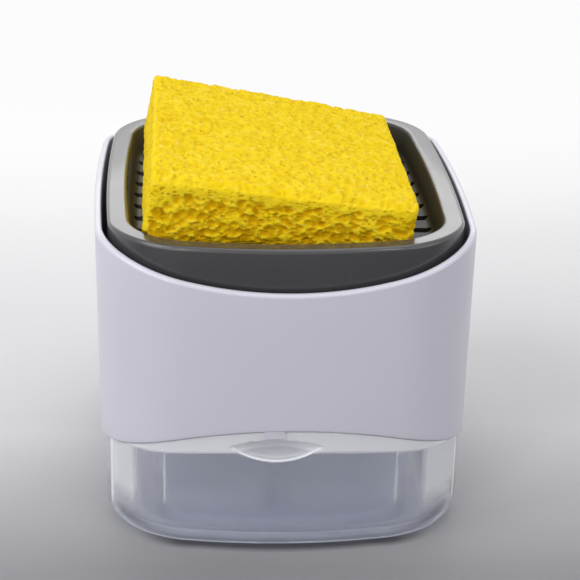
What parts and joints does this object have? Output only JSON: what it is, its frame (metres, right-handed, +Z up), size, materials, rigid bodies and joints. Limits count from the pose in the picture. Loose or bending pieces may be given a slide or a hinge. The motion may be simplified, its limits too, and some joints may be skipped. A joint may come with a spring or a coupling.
{
  "type": "soap pump caddy",
  "caption": "Countertop soap caddy: pressing the slotted sponge tray drives a pump that lifts liquid soap from the clear tank below and out of the tray's middle.",
  "frame": {"origin": "middle of the footprint, on the surface that the tank stands on", "axes": "+Z up, +Y from front to back along the caddy's longer side, +X to the right when its front is faced"},
  "size_m": [0.106, 0.1376, 0.1012],
  "materials": {
    "clear_plastic": "clear, polished",
    "sleeve_plastic": "satin",
    "white_plastic": "satin",
    "natural_plastic": "uncoloured, translucent",
    "tray_plastic": "semi gloss",
    "silicone": "matte",
    "black_rubber": "matte",
    "steel": "bright",
    "sponge": "open cellulose foam"
  },
  "bodies": {
    "tank_unit": {"tank": "clear_plastic"},
    "upper_unit": {"sleeve": "sleeve_plastic", "reservoir_lid": "white_plastic", "tank_seal": "silicone", "pump_collar": "white_plastic", "pump_gasket": "silicone", "pump_housing": "natural_plastic", "stem_retainer": "white_plastic", "dip_tube": "natural_plastic", "ball_cage": "natural_plastic", "pump_spring": "steel"},
    "plunger": {"piston_stem": "white_plastic", "piston_head": "natural_plastic", "piston_seal": "silicone"},
    "press_tray": {"tray": "tray_plastic", "nozzle_cap": "tray_plastic", "nozzle_valve": "silicone", "stem_o_ring": "black_rubber"},
    "sponge_pad": {"sponge": "sponge"},
    "inlet_valve": {"inlet_ball": "steel"},
    "outlet_valve": {"outlet_ball": "steel"}
  },
  "joints": [
    {"name": "lid_lift", "type": "slide", "parent": "tank_unit", "child": "upper_unit", "axis": [0, 0, 1], "range_m": [0, 0.05]},
    {"name": "press", "type": "slide", "parent": "upper_unit", "child": "plunger", "axis": [0, 0, -1], "range_m": [0, 0.01], "stiffness_N_per_m": 400, "springref_m": -0.01, "deforming": ["pump_spring"]},
    {"name": "tray_lift", "type": "slide", "parent": "plunger", "child": "press_tray", "axis": [0, 0, 1], "range_m": [0, 0.03]},
    {"name": "sponge_lift", "type": "slide", "parent": "press_tray", "child": "sponge_pad", "axis": [0, 0, 1], "range_m": [0, 0.04]},
    {"name": "inlet_ball_lift", "type": "slide", "parent": "upper_unit", "child": "inlet_valve", "axis": [0, 0, 1], "range_m": [0, 0.0015]},
    {"name": "outlet_ball_lift", "type": "slide", "parent": "plunger", "child": "outlet_valve", "axis": [0, 0, 1], "range_m": [0, 0.0012]}
  ]
}
